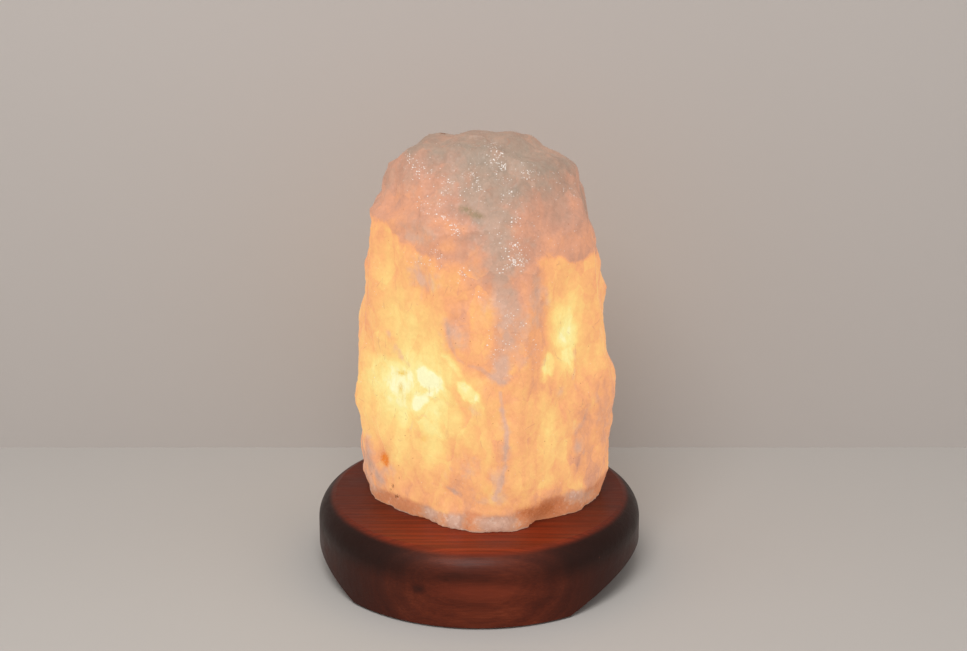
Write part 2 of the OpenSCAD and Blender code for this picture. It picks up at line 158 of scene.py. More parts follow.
def stops(tree, value, *colours):
    """A colour that follows a value through pairs of (value, colour as written)."""
    made = add(tree, "ValToRGB", {"Fac": value})
    band = made.color_ramp.elements
    band.remove(band[1])
    band[0].position, band[0].color = colours[0][0], written(*colours[0][1])
    for at, colour in colours[1:]:
        band.new(at).color = written(*colour)
    return made.outputs["Color"]


def near_spot(tree, spot, stretch, near, far, most, smooth=True):
    """A share that is most around a spot and falls to 0 from near to far, which are counted in the
    stretch of each axis."""
    middle = [at / by for at, by in zip(spot, stretch)]
    return remap(tree, vectors(tree, "DISTANCE", place(tree, stretch), middle), near, far, most, 0.0, smooth)


def drive(shader, **linked):
    """Links patterns to the shader's sockets of those names."""
    for socket, value in linked.items():
        shader.id_data.links.new(value, shader.inputs[socket.replace("_", " ")])


def bumped(shader, height, depth, strength=1.0, under=None):
    """Relief of so many millimetres on the shader's surface, over an earlier relief."""
    wired = {"Height": height, "Distance": depth * MM, "Strength": strength}
    if under is not None:
        wired["Normal"] = under
    made = add(shader.id_data, "Bump", wired).outputs["Normal"]
    drive(shader, Normal=made)
    return made


def coat_with(material, *names):
    """The CAD pieces of those names get this material."""
    for name in names:
        nodes[name].data.materials.clear()
        nodes[name].data.materials.append(material)


wood, tree, shader = finish("mahogany_stained_wood", Specular_IOR_Level=0.14, Coat_Weight=0.06,
                            Coat_Roughness=0.25)
right, back, up = axes(tree)
wander = lumps(tree, (70, 30, 26), 2.0)
off_y = sums(tree, "ADD", back, sums(tree, "MULTIPLY_ADD", wander, 14.0, -pith_y))
off_z = sums(tree, "SUBTRACT", up, pith_z)
ring = sums(tree, "SQRT", sums(tree, "ADD", times(tree, off_y, off_y), times(tree, off_z, off_z)))
ring_noise = add(tree, "TexNoise", {"W": times(tree, ring, 1 / ring_gap), "Scale": 1.0, "Detail": 5.0,
                                    "Roughness": 0.6}, noise_dimensions="1D").outputs["Fac"]
fibre = lumps(tree, (26, 0.7, 0.7), 4.0, 0.6)
blotch = lumps(tree, (34, 16, 9))
figure = sums(tree, "ADD", times(tree, ring_noise, 0.30),
              sums(tree, "ADD", times(tree, fibre, 0.26), times(tree, blotch, 0.44)))
stain = stops(tree, remap(tree, figure, 0.34, 0.66), (0.0, (66, 25, 14)), (0.4, (86, 33, 18)),
              (0.7, (102, 41, 22)), (1.0, (124, 54, 31)))

# The stain took darker in streaks on the flat top and in the end grain at the sides. The front of the
# top is painted lighter, a painted glow of the lit stone, and the shoulder darker at the sides, painted shade
flat_top = remap(tree, up, base_top - 2.2, base_top - 0.3, smooth=True)
turned_side = sums(tree, "SUBTRACT", 1.0, flat_top)
# Painted glow: the top is painted lighter and more orange towards its front, where the lit stone shines on
# it.
painted_glow_front = remap(tree, back, -10.0, -50.0, 0.25, 0.62, smooth=True)
streaks = remap(tree, lumps(tree, (60, 1.6, 1.6), 3.0, 0.6), 0.42, 0.60, 0.0, 0.5)
# A darker, streaky patch on the top, just in front of the stone.
dark_top_streaks = times(tree, near_spot(tree, (12.0, -61.0, 36.0), (26, 5, 20), 0.2, 1.2, 0.6),
              remap(tree, fibre, 0.3, 0.6, 1.0, 0.4))
# A lighter patch at the front of the turned side, below the shoulder.
pale_front_patch = times(tree, near_spot(tree, (0.0, -base_r, 19.0), (24, 30, 5.5), 0.2, 1.2, 0.45), turned_side)
out_x = sums(tree, "ABSOLUTE", right)
end_by = sums(tree, "MULTIPLY_ADD", blotch, 24.0, out_x)
end_grain = times(tree, remap(tree, end_by, 26.0, 74.0, 0.0, 0.85, smooth=True),
                  remap(tree, turned_side, 0.0, 1.0, 0.5, 1.0))
# Painted shade: the rounded shoulder is painted near black at the left and right.
shoulder_shade_by = sums(tree, "MULTIPLY_ADD", blotch, 20.0, out_x)
shoulder_painted_shade = times(tree, remap(tree, up, 17.0, 27.0, smooth=True),
              remap(tree, shoulder_shade_by, 22.0, 56.0, 0.15, 0.8, smooth=True))
dent = near_spot(tree, (-27.4, -70.9, 18.0), (1.6, 1, 1), 0.5, 3.4, 0.6)
bare_speck = near_spot(tree, (54.2, -52.0, 25.0), (1, 1, 1), 0.5, 1.0, 0.6, smooth=False)
stain = painted(
    tree, stain, (times(tree, flat_top, painted_glow_front), (150, 50, 18)),
    (times(tree, flat_top, streaks), (74, 28, 15)), (dark_top_streaks, (74, 28, 15)), (pale_front_patch, (132, 54, 32)),
    (end_grain, (46, 21, 15)), (times(tree, shoulder_painted_shade, turned_side), (28, 13, 9)), (dent, (30, 14, 12)),
    (bare_speck, (150, 84, 62)))
drive(shader, Base_Color=stain,
      Roughness=remap(tree, sums(tree, "ADD", fibre, blotch), 0.7, 1.3, 0.36, 0.52))
relief = bumped(shader, fibre, 0.10)
relief = bumped(shader, lumps(tree, (9, 9, 9), 2.0), 0.3, under=relief)
bumped(shader, dent, 0.5, -0.6, under=relief)
coat_with(wood, "wood_base")

# Felt pads. Four discs punched from pressed black felt, stuck under the base so that the lamp
# stands level and doesn't scratch the table.


def tinted(shader, pattern, dark, light, low=0.3, high=0.7, rough=None):
    """The base colour goes from dark to light while the pattern goes from low to high, and the
    roughness between two values, where they are given."""
    drive(shader, Base_Color=stops(shader.id_data, pattern, (low, dark), (high, light)))
    if rough:
        drive(shader, Roughness=remap(shader.id_data, pattern, low, high, *rough))


felt, tree, shader = finish("pressed_black_felt", Roughness=0.95, Specular_IOR_Level=0.1,
                            Sheen_Weight=0.2, Sheen_Roughness=0.5)
strands = lumps(tree, (0.5, 0.5, 0.5), 5.0, 0.7, 1.5)
tinted(shader, strands, (24, 23, 22), (62, 59, 56), high=0.62)
bumped(shader, strands, 0.5)
coat_with(felt, "felt_pads")

# Glue. A ring of clear adhesive between the wood and the sawn foot of the stone. It has cured
# cloudy.
glue, tree, shader = finish("cloudy_glue", Roughness=0.35, Transmission_Weight=0.2)
haze = lumps(tree, (6, 6, 6), 4.0)
tinted(shader, haze, (196, 186, 168), (226, 219, 204))
bumped(shader, haze, 0.3)
coat_with(glue, "glue_ring")

# Stone. A block of rose quartz, split from the rock, its foot sawn flat and a hole drilled up
# into it for the bulb. Every face is a fresh break: large planes, scooped by smaller breaks, with
# ridges between them. It is glued to the base.
half = np.array([120.0, 101.0, 175.0]) / 2
stone_right = 3.0
stone_foot = 36.1
stone_mid = stone_foot + half[2]
crown_from = 0.5 * half[2]
crown_cut = 2.1
crease_deep = 1.2
bevel_deep, bevel_tall = 1.6, 9.0
bore_r = 22.0
bore_top = stone_foot + 88.0
bulb_at = np.array([0.0, 0.0, 90.0])
columns, wall_rows, crown_rows = 416, 128, 78

# Break planes: direction they face, tilt above the horizontal, fullness (1 touches the ellipsoid)
break_planes = np.array([
    [-8, -2, 0.985], [-4, 6, 0.885], [2, 15, 0.92], [-2, 60, 0.99],
    [184, -3, 1.01], [184, 4, 0.92], [178, 20, 1.04], [180, 56, 1.09],
    [-149, -1, 0.91], [-130, 1, 0.84], [-113, -2, 0.915], [-88, -5, 1.12], [-92, 9, 0.90],
    [-45, 2, 0.84], [-24, 0, 0.95],
    [-135, 33, 1.02], [-96, 42, 0.92], [-62, 27, 0.93], [-32, 40, 0.985],
    [-72, 77, 0.955], [82, 80, 0.976], [-148, 64, 1.075], [-20, 70, 0.961],
    [92, 3, 0.94], [52, 5, 0.96], [130, 6, 0.95], [24, -2, 0.965], [156, 3, 0.95],
    [60, 36, 0.97], [118, 32, 0.97], [14, 46, 1.03], [150, 48, 1.075], [88, 55, 0.97]])
# Swellings: direction, share of the height, rise, half width in degrees, half height as a share
swellings = [
    [-6, 0.30, 0.028, 26, 0.07], [184, 0.38, 0.012, 30, 0.15], [-88, 0.27, 0.015, 14, 0.17],
    [-104, 0.67, -0.017, 22, 0.13], [-28, 0.50, -0.017, 20, 0.10], [-58, 0.67, -0.015, 18, 0.14],
    [-140, 0.49, -0.013, 20, 0.14], [70, 0.42, 0.020, 22, 0.10], [122, 0.60, -0.018, 20, 0.12]]
# Ledges: direction, half width in degrees, share of the height where they start, step in, run up
broken_ledges = [[196, 42, 0.80, 0.036, 0.025], [-30, 36, 0.70, 0.014, 0.04], [96, 44, 0.66, 0.022, 0.03]]
# Chips at the crown: direction, height above the foot, half width in degrees, half height, depth
crown_chips = [[182, 172, 20, 4, 2.4], [192, 158, 24, 8, -2.0], [-40, 171, 20, 5, 1.5]]
# Chips at the foot: direction, half width in degrees, depth
foot_chips = [[-110, 9, -5.0], [-93, 10, -2.6], [-57, 14, 4.4], [-14, 8, 2.6], [-143, 6, 1.6]]


def cloud(p, size, seed):
    """Value noise from -1 to 1: random numbers at the corners of cubes of that size, blended
    across each cube by the curve 3t^2 - 2t^3 on each axis."""
    table = np.random.default_rng(seed).uniform(-1, 1, (32, 32, 32))
    q = p / size
    cell = np.floor(q).astype(int)
    t = q - cell
    t = t * t * (3 - 2 * t)
    value = np.zeros(len(p))
    for corner in np.ndindex(2, 2, 2):
        c = (cell + corner) % 32
        share = np.prod(np.where(corner, t, 1 - t), axis=1)
        value += share * table[c[:, 0], c[:, 1], c[:, 2]]
    return value


def scoops(p, size, seed):
    """Shell-shaped breaks: each cell of a grid holds one centre, and the surface is the lowest of
    their bowls, distance^2 + a random tilt times distance + a random level, in cell units.
    Returns the height, about 0 to 1, and a random number from 0 to 1 for each break."""
    rng = np.random.default_rng(seed)
    centres = rng.uniform(0.15, 0.85, (16, 16, 16, 3))
    tilts = rng.uniform(-0.5, 0.5, (16, 16, 16, 3))
    levels = rng.uniform(0, 0.35, (16, 16, 16))
    names = rng.uniform(0, 1, (16, 16, 16))
    q = p / size
    cell = np.floor(q).astype(int)
    lowest, name = np.full(len(p), 9.0), np.zeros(len(p))
    for step in np.ndindex(3, 3, 3):
        c = cell + np.array(step) - 1
        k = tuple((c % 16).T)
        d = q - c - centres[k]
        h = (d * d).sum(1) + (tilts[k] * d).sum(1) + levels[k]
        nearer = h < lowest
        lowest, name = np.where(nearer, h, lowest), np.where(nearer, names[k], name)
    return lowest, name


def fold(x):
    """A zigzag between -1 and 1."""
    return 4 * np.abs(x - np.floor(x + 0.5)) - 1


def hump(degrees, towards, wide, above=0.0, tall=1.0):
    """A hump 1 high: e to the power of minus the squares of the turn from a direction, in half
    widths, and of the height above its middle, in half heights."""
    turn = (degrees - towards + 540) % 360 - 180
    return np.exp(-(turn / wide) ** 2 - (above / tall) ** 2)


def stone_skin(a, z, e):
    """The part's own skin: from the stone's axis at height z a ray leaves in direction a and
    elevation e, and ends at the nearest break plane, moved out or in by the creases, the
    swellings, the ledges and the bevel at the foot. Returns points, ray directions and planes."""
    tilt, turn = np.radians(break_planes[:, 1]), np.radians(break_planes[:, 0])
    facing = np.stack([np.cos(turn) * np.cos(tilt), np.sin(turn) * np.cos(tilt), np.sin(tilt)], 1)
    reach = break_planes[:, 2] * np.linalg.norm(facing * half, axis=1)
    ray = np.stack([np.cos(e) * np.cos(a), np.cos(e) * np.sin(a), np.sin(e)], 1)
    across = ray @ facing.T
    away = np.where(across > 0.02, (reach - z[:, None] * facing[:, 2]) / np.maximum(across, 0.02), 1e9)
    plane, far = away.argmin(1), away.min(1)
    up = z + far * np.sin(e) + half[2]
    q = np.stack([far * ray[:, 0], far * ray[:, 1], z + far * ray[:, 2]], 1) / half
    crease = crease_deep * (
        0.9 * fold(q @ [1.7, 0.9, 1.1] + 0.1) * fold(q @ [-1.1, 2.3, 1.9])
        + 0.7 * fold(q @ [2.9, -1.3, 0.7] + 0.35) + 0.5 * fold(q @ [0.6, 1.9, -3.7] + 0.6))
    high = up / (2 * half[2])
    side = np.zeros(len(a))
    for towards, share, rise, wide, tall in swellings:
        side += rise * hump(np.degrees(a), towards, wide, high - share, tall)
    for towards, wide, share, step, run in broken_ledges:
        side -= step * hump(np.degrees(a), towards, wide) * np.clip((high - share) / run, 0, 1)
    bevel = bevel_deep * np.clip(1 - up / bevel_tall, 0, None)
    r = far + crease + np.cos(e) * (2 * half[0] * side - bevel)
    return np.stack([r * ray[:, 0], r * ray[:, 1], z + r * ray[:, 2]], 1), ray, plane


turns = 2 * np.pi * np.arange(columns) / columns
wall_z = -half[2] + (crown_from + half[2]) * np.arange(wall_rows) / wall_rows
crown_e = np.radians(90.0) * (np.arange(crown_rows) + 0.5) / crown_rows
grid_a = np.tile(turns, wall_rows + crown_rows)
grid_z = np.repeat(np.concatenate([wall_z, np.full(crown_rows, crown_from)]), columns)
grid_e = np.repeat(np.concatenate([np.zeros(wall_rows), crown_e]), columns)
skin, ray, plane = stone_skin(grid_a, grid_z, grid_e)

big, big_name = scoops(skin + [7, 3, 5], [17, 17, 27], 11)
mid, mid_name = scoops(skin, [7.5, 7.5, 10], 12)
fine, fine_name = scoops(skin, [3, 3, 3.6], 13)
rough_here = 0.6 + 0.4 * cloud(skin, 30.0, 5)
rough_here *= np.where(skin[:, 2] > 0.42 * half[2], 0.7, 1.0)
above_foot = skin[:, 2] + half[2]
foot_hold = np.clip(above_foot / 6.0, 0.25, 1)
shift = (-2.0 * (big - 0.35) - 1.0 * (mid - 0.3) * rough_here - 0.4 * (fine - 0.3) * rough_here
         + 0.22 * cloud(skin, 1.8, 6))
shift = np.clip(shift + 0.9 * np.sin(grid_e), -3.0, 1.4)
for towards, height, wide, tall, depth in crown_chips:
    shift -= depth * hump(np.degrees(grid_a), towards, wide, above_foot - height, tall)
crumbled = 1.3 * np.abs(cloud(skin, 3.2, 7)) * np.exp(-(above_foot / 1.5) ** 2)
for towards, wide, depth in foot_chips:
    crumbled += depth * hump(np.degrees(grid_a), towards, wide, above_foot, 10.0)
skin = skin + (shift * foot_hold - crumbled)[:, None] * ray
skin[:, 2] = np.minimum(skin[:, 2], half[2] - crown_cut)
skin += [stone_right, 0.0, stone_mid]

bore_rows = [(bore_r, z) for z in np.linspace(stone_foot, bore_top, 12)]
bore_rows += [(r, bore_top) for r in (15.0, 8.0)]
bore = [np.stack([r * np.cos(turns), r * np.sin(turns), np.full(columns, z)], 1) for r, z in bore_rows]
rings = np.concatenate([skin.reshape(-1, columns, 3)[::-1], bore])
poles = [skin[-columns:].mean(0), [0.0, 0.0, bore_top]]


def closed_grid(rows, n):
    """Faces of a grid of rows of n points between two poles, the poles being the last two points."""
    j, k = np.meshgrid(np.arange(rows - 1), np.arange(n), indexing="ij")
    k2 = (k + 1) % n
    quads = np.stack([j * n + k, (j + 1) * n + k, (j + 1) * n + k2, j * n + k2], -1).reshape(-1, 4)
    k = np.arange(n)
    k2 = (k + 1) % n
    last = (rows - 1) * n
    top = np.stack([np.full(n, rows * n), k, k2], 1)
    end = np.stack([np.full(n, rows * n + 1), last + k2, last + k], 1)
    return quads.tolist() + top.tolist() + end.tolist()


def piece(name, points, faces, material, body):
    """A finished piece from points in millimetres and faces, on its body, in its material."""
    mesh = bpy.data.meshes.new(name)
    mesh.from_pydata((np.asarray(points) * MM).tolist(), [], faces)
    mesh.polygons.foreach_set("use_smooth", [True] * len(mesh.polygons))
    mesh.materials.append(material)
    made = bpy.data.objects.new(name, mesh)
    scene.collection.objects.link(made)
    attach(made, body)
    return made


quartz, tree, shader = finish("rose_quartz", Emission_Strength=1.0, Specular_IOR_Level=0.35)
stone = piece("rough_quartz_block", np.concatenate([rings.reshape(-1, 3), poles]),
              closed_grid(len(rings), columns), quartz, "lamp")
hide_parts("quartz_stone")


def seen_at(p):
    """Where a point falls on the upright plane through the lamp's axis, along the sight line from
    the viewer: its distance to the right and its height, in millimetres."""
    along = -sight_from[1] / (p[:, 1] - sight_from[1])
    hit = sight_from + (p - sight_from) * along[:, None]
    return hit[:, 0], hit[:, 2]


def beside(x, z, line):
    """Distance from an open line of straight pieces."""
    far = np.full(len(x), 1e9)
    for (x0, z0), (x1, z1) in zip(line, line[1:]):
        dx, dz = x1 - x0, z1 - z0
        t = np.clip(((x - x0) * dx + (z - z0) * dz) / (dx * dx + dz * dz), 0, 1)
        far = np.minimum(far, np.hypot(x - x0 - t * dx, z - z0 - t * dz))
    return far


def inside_by(x, z, outline):
    """Distance inside an outline of straight edges, negative outside it."""
    closed = outline + outline[:1]
    far, inside = beside(x, z, closed), np.zeros(len(x), bool)
    for (x0, z0), (x1, z1) in zip(closed, closed[1:]):
        if z0 != z1:
            inside ^= ((z0 > z) != (z1 > z)) & (x < x0 + (z - z0) * (x1 - x0) / (z1 - z0))
    return np.where(inside, far, -far)


def patches(x, z, listed):
    """Sum of soft oval patches, each [right, height, half width, half height, rise], with a sixth
    value where the patch leans, in degrees."""
    value = np.zeros(len(x))
    for right, height, wide, tall, rise, *lean in listed:
        c, s = math.cos(math.radians(sum(lean))), math.sin(math.radians(sum(lean)))
        u, v = (x - right) * c + (z - height) * s, (z - height) * c - (x - right) * s
        value += rise * np.exp(-(u / wide) ** 2 - (v / tall) ** 2)
    return value


def smooth_step(x, low, high):
    """0 up to low, 1 from high on, and the curve 3t^2 - 2t^3 between them."""
    t = np.clip((x - low) / (high - low), 0, 1)
    return t * t * (3 - 2 * t)


# The dull crown and the grey wedge that hangs from it, over the lit lower part
dull_outline = [
    (-80, 179), (-51, 172), (-46, 169), (-40, 165), (-34, 160), (-28, 154), (-20, 150), (-8, 147),
    (0, 142), (4, 131), (7, 120), (7, 110), (3, 100), (10, 93), (15, 98), (26, 103), (31, 107), (30, 116),
    (31, 131), (30, 143), (29, 149), (32, 152), (37, 152), (43, 148), (46, 149), (54, 154), (62, 153),
    (80, 153), (80, 240), (-80, 240)]
# Clear windows, each [edge softness, gain in warmth, outline]
windows = [
    [1.6, 0.12, [(-53, 106), (-44, 104), (-36, 99), (-31, 95), (-28, 89), (-29, 81), (-33, 76), (-39, 79),
     (-46, 84), (-53, 90)]],
    [1.0, 0.27, [(-29, 96), (-25, 98), (-21, 96), (-17, 92), (-17, 88), (-19, 85), (-21, 82), (-25, 79),
     (-28, 76), (-32, 76), (-32, 80), (-28, 84), (-25, 86), (-26, 88), (-29, 91)]],
    [0.8, 0.42, [(-11, 90), (-7, 91), (-3, 88), (0, 84), (0, 81), (-3, 80), (-7, 81), (-10, 85)]],
    [0.9, 0.14, [(-11, 84), (-6, 82), (0, 81), (2, 77), (-4, 75), (-9, 78)]],
    [0.8, 0.24, [(-19, 105), (-14, 104), (-9, 97), (-7, 92), (-10, 93), (-14, 99)]],
    [1.4, 0.13, [(-44, 84), (-33, 79), (-26, 84), (-17, 88), (-9, 80), (-8, 66), (-16, 61), (-26, 65),
     (-38, 68)]],
    [0.9, 0.07, [(-14, 86), (-9, 80), (-6, 66), (-9, 63), (-12, 72), (-16, 80)]],
    [0.9, 0.07, [(-24, 78), (-20, 80), (-17, 70), (-18, 62), (-21, 66)]],
    [1.0, 0.05, [(32, 153), (37, 154), (43, 149), (45, 131), (45, 109), (42, 104), (36, 106), (32, 116),
     (31, 136)]],
    [0.8, 0.04, [(45, 149), (51, 152), (54, 153), (57, 131), (59, 109), (58, 91), (52, 92), (47, 101),
     (46, 121)]],
    [1.0, 0.12, [(34, 125), (38, 129), (42, 127), (44, 122), (46, 116), (47, 110), (44, 107), (36, 107),
     (34, 111)]],
    [0.8, 0.06, [(36, 118), (45, 118), (46, 109), (40, 109), (36, 110)]],
    [0.6, 0.17, [(37, 107), (43, 107), (45, 103), (42, 99), (39, 100)]],
    [0.6, 0.3, [(30, 103), (32, 106), (34, 104), (35, 98), (34, 93), (31, 94), (29, 97)]],
    [0.7, 0.16, [(28, 97), (31, 100), (33, 94), (31, 89), (28, 91)]],
    [1.0, -0.08, [(45, 90), (60, 97), (66, 86), (62, 61), (61, 40), (53, 36), (46, 41), (45, 61), (46, 76)]],
    [1.2, 0.04, [(16, 82), (28, 86), (37, 80), (43, 61), (44, 44), (29, 34), (16, 29), (14, 56)]],
    [1.0, 0.06, [(29, 86), (34, 84), (37, 72), (34, 62), (29, 66)]],
    [1.6, 0.06, [(-50, 150), (-45, 158), (-38, 150), (-34, 132), (-36, 112), (-44, 112), (-50, 128)]]]
# Soft patches of warmth in the lit part and in the dull one, of grey, of chalk and of painted glints
warm_patches = [
    [-36, 88, 24, 22, 0.26], [-34, 118, 14, 24, 0.17, 8], [-25, 92, 9, 11, 0.1], [-30, 58, 22, 14, 0.12],
    [40, 114, 8, 20, 0.2], [33, 68, 6, 13, 0.12], [60, 70, 7, 30, -0.04], [-55, 45, 7, 18, -0.22],
    [-58, 140, 7, 40, -0.1], [4, 22, 50, 7, -0.05], [46, 104, 5, 6, 0.04], [-14, 66, 12, 12, 0.08],
    [-44, 160, 8, 8, 0.05], [12, 112, 10, 20, -0.06], [-12, 112, 7, 9, -0.1], [-12, 134, 12, 10, -0.05],
    [-6, 98, 4, 5, -0.1, 30], [-20, 84, 3, 3, -0.12], [-32, 88, 18, 13, 0.1], [-46, 86, 6, 14, 0.12],
    [-32, 124, 10, 14, 0.06], [53, 92, 6, 16, 0.1], [40, 100, 6, 5, 0.08], [-13, 95, 6, 8, 0.12],
    [-22, 109, 7, 6, 0.1], [-41, 73, 8, 7, 0.1], [14, 82, 14, 14, 0.06], [34, 82, 5, 10, -0.06],
    [53, 103, 5, 8, 0.06], [-15, 58, 9, 10, 0.05], [33, 46, 6, 9, -0.08], [-4, 90, 4, 3, 0.08],
    [-13, 90, 3, 4, 0.04], [-22, 55, 6, 8, 0.05], [33, 146, 6, 9, -0.08], [51, 148, 4, 6, -0.1],
    [-41, 143, 6, 9, -0.05]]
dull_patches = [
    [-34, 184, 16, 17, 0.08], [-40, 171, 12, 9, 0.08], [-18, 190, 12, 14, 0.06],
    [-16, 168, 6, 4, 0.09, -20], [-15, 156, 7, 3, 0.14, 10], [-6, 165, 5, 3, 0.08], [-2, 152, 4, 5, 0.1],
    [-22, 183, 8, 7, 0.07], [16, 165, 4, 3, 0.06], [19, 138, 5, 5, 0.07], [6, 126, 4, 6, 0.1],
    [10, 114, 3, 3, 0.08], [46, 160, 10, 7, 0.08], [28, 125, 4, 26, 0.05], [22, 112, 5, 8, 0.05],
    [34, 158, 5, 4, 0.08], [-31, 160, 9, 5, 0.13, 30], [-20, 160, 8, 5, 0.05], [24, 162, 8, 6, 0.04]]
grey_patches = [
    [0, 196, 22, 18, 0.7], [26, 196, 14, 10, 0.45], [4, 178, 12, 10, 0.55], [8, 166, 9, 9, 0.6],
    [8, 156, 7, 10, 0.55], [10, 146, 7, 9, 0.6], [11, 136, 7, 9, 0.5], [14, 127, 8, 8, 0.55],
    [13, 112, 5, 14, 0.7], [9, 97, 5, 6, 0.6], [-11, 112, 6, 8, 0.4, 20], [-15, 118, 3, 4, 0.25],
    [-27, 163, 7, 6, 0.55], [-29, 147, 4, 8, 0.4], [-22, 139, 5, 5, 0.42], [-26, 205, 12, 5, 0.25],
    [-42, 194, 5, 8, 0.15], [-14, 165, 5, 8, -0.3], [-15, 155, 7, 4, -0.25], [19, 138, 5, 5, -0.35],
    [27, 137, 2.5, 6, 0.5], [31, 131, 2, 4, 0.35], [24, 159, 3, 4, 0.35], [-32, 182, 14, 10, 0.06],
    [12, 62, 4, 20, 0.18, -4], [8, 40, 5, 5, 0.4], [6, 31, 9, 3, 0.45], [-8, 158, 8, 6, 0.3],
    [-3, 146, 6, 5, 0.25], [18, 150, 4, 5, 0.25], [20, 118, 4, 9, 0.35], [27, 122, 2.5, 8, 0.3],
    [55, 74, 4, 8, 0.14], [46, 68, 3, 6, 0.2, 20], [36, 86, 7, 3, 0.35, -8], [47, 57, 3, 5, 0.45],
    [60, 74, 3, 8, 0.15], [-52, 52, 3, 12, 0.4], [-48, 40, 6, 6, 0.4, 20], [-58, 122, 3, 8, 0.3],
    [-39, 108, 1.5, 6, 0.3, -20], [-43, 45, 4, 4, 0.4, -30], [30, 99, 2, 5, 0.25], [20, 100, 5, 3, 0.2],
    [-3, 76, 5, 5, 0.18], [-8, 44, 12, 8, 0.14], [-4, 46, 9, 10, 0.22], [5, 129, 4, 6, 0.22]]
chalky_patches = [
    [-23, 24, 4, 6, 0.9], [-12, 20, 4, 6, 1.2], [5, 18, 6, 5, 0.9], [13, 18, 6, 5, 0.7],
    [44, 33, 4, 4, 0.5], [50, 33, 5, 4, 0.4], [-50, 38, 4, 4, 0.5]]
painted_glint_patches = [
    [-27, 192, 5, 6, 1.0, 25], [-32, 198, 4, 4, 0.8], [-14, 184, 6, 6, 0.8, 30],
    [-24, 176, 6, 4, 0.8, -20], [-15, 171, 4, 3, 0.9], [-11, 165, 2.5, 4, 1.5], [6, 203, 4, 3, 0.8],
    [8, 196, 4, 7, 1.5], [23, 191, 4, 4, 1.3], [-2, 189, 4, 4, 1.0], [14, 181, 5, 5, 0.9],
    [2, 184, 4, 4, 0.5], [17, 170, 4, 2, 1.2, 40], [8, 161, 3, 3, 1.0], [15, 156, 4, 3, 1.5, -30],
    [17, 149, 6, 5, 1.5, -35], [10, 146, 3, 3, 0.9], [-7, 143, 3.5, 4, 1.6], [0, 134, 3, 3.5, 1.1, -20],
    [15, 123, 4, 3, 1.1, 35], [10, 131, 3, 2, 0.8], [21, 110, 8, 12, 0.6], [8, 108, 6, 10, 0.7],
    [-20, 151, 5, 5, 0.8], [-30, 150, 5, 6, 0.5], [24, 160, 20, 12, 0.3], [42, 185, 12, 10, 0.4],
    [-50, 110, 8, 40, 0.2], [0, 190, 40, 24, 0.25]]
# Stains and flecks, as such patches
spots = {
    "rust": [[-44.6, 52, 1.8, 2.8, 1.1], [-43.6, 49, 1.0, 2, 0.5]],
    "specks": [
        [-39, 32.5, 1.4, 0.9, 1.3], [-41, 38, 0.9, 2.0, 0.8, 20], [-38, 42, 0.8, 2.2, 0.7, 15],
        [-51, 44, 1.0, 1.5, 0.7], [-42, 36, 0.8, 0.8, 0.9], [-36.5, 95, 1.0, 0.5, 0.7, -10],
        [-44, 67, 0.8, 0.9, 0.6], [-21, 65, 0.6, 1.4, 0.5, -30], [-9, 67, 0.7, 1.6, 0.6, 10]],
    "olive": [
        [-6, 174.6, 3.2, 1.3, 0.7, -15], [-1, 171.6, 3.4, 1.3, 0.9, -10], [-4, 173, 6, 3, 0.3, -15],
        [-15, 119, 1.2, 2, 0.3]],
    "ochre": [[32, 26, 8, 4.5, 1.0, 14], [22, 24, 4, 3, 0.7], [-45, 53, 3, 5, 0.4]],
    "mustard": [
        [-36, 95, 2.8, 1.2, 0.8], [-36.6, 88, 1.2, 2.6, 0.7], [-34, 83, 3, 3, 0.25],
        [-26, 62, 2, 1.5, 0.4]]}
# Healed fractures seen edge on, each [half width, grey, warmth, line]
healed = [
    [1.0, 0.75, -0.04, [(10, 85), (11, 76), (13, 66), (13, 58), (12, 46), (10, 38), (7, 31)]],
    [1.2, 0.45, -0.1, [(-15, 119), (-13, 108), (-10, 102), (-6, 99), (0, 97), (6, 93), (11, 90)]],
    [0.8, 0.25, -0.1, [(12, 90), (17, 94), (20, 99), (25, 106)]],
    [1.6, 0.45, -0.1, [(-54, 62), (-52, 52), (-50, 47), (-46, 41)]],
    [1.4, 0.3, -0.1, [(-42, 115), (-39, 109), (-36, 103), (-33, 99)]],
    [1.0, 0.2, -0.05, [(52, 84), (50, 76), (49, 70), (45, 64)]],
    [0.8, 0.15, -0.06, [(56, 92), (55, 84), (57, 76), (55, 68)]],
    [0.7, 0.4, -0.06, [(-22, 39), (-15, 37), (-9, 33), (-7, 29)]],
    [0.8, 0.3, -0.08, [(44, 106), (45, 98), (44, 92), (46, 86)]],
    [0.7, 0.2, -0.08, [(-33, 66), (-30, 72), (-26, 74), (-23, 71)]],
    [0.7, 0.2, -0.08, [(-25, 84), (-21, 81), (-17, 83), (-14, 79)]],
    [1.0, 0.35, 0.0, [(-30, 152), (-28, 143), (-26, 138), (-27, 131)]]]
# Upper edge of the crushed band over the sawn foot
crushed_edge = [
    (-56, 44), (-51, 38), (-41, 34), (-35, 31), (-26, 28), (-18, 24), (-11, 23), (-5, 25), (1, 23),
    (15, 23), (19, 25), (26, 27), (32, 31), (38, 33), (43, 35), (49, 36), (54, 38), (57, 41), (61, 47)]

world = rings.reshape(-1, 3)
along_ring = np.roll(rings, -1, 1) - np.roll(rings, 1, 1)
outward = np.cross(np.gradient(rings, axis=0), along_ring).reshape(-1, 3)
outward /= np.maximum(np.linalg.norm(outward, axis=1), 1e-9)[:, None]
to_viewer = sight_from - world
to_viewer /= np.linalg.norm(to_viewer, axis=1)[:, None]
toward = smooth_step(cloud(world, 12.0, 8) * 0.06 + (outward * to_viewer).sum(1), -0.34, -0.12)


def softened(values, rounds):
    """A value of the skin averaged with its neighbours along the rings, so many times."""
    values = values.reshape(-1, columns)
    for _ in range(rounds):
        values = (values + np.roll(values, 1, 1) + np.roll(values, -1, 1)) / 3
    return values.ravel()


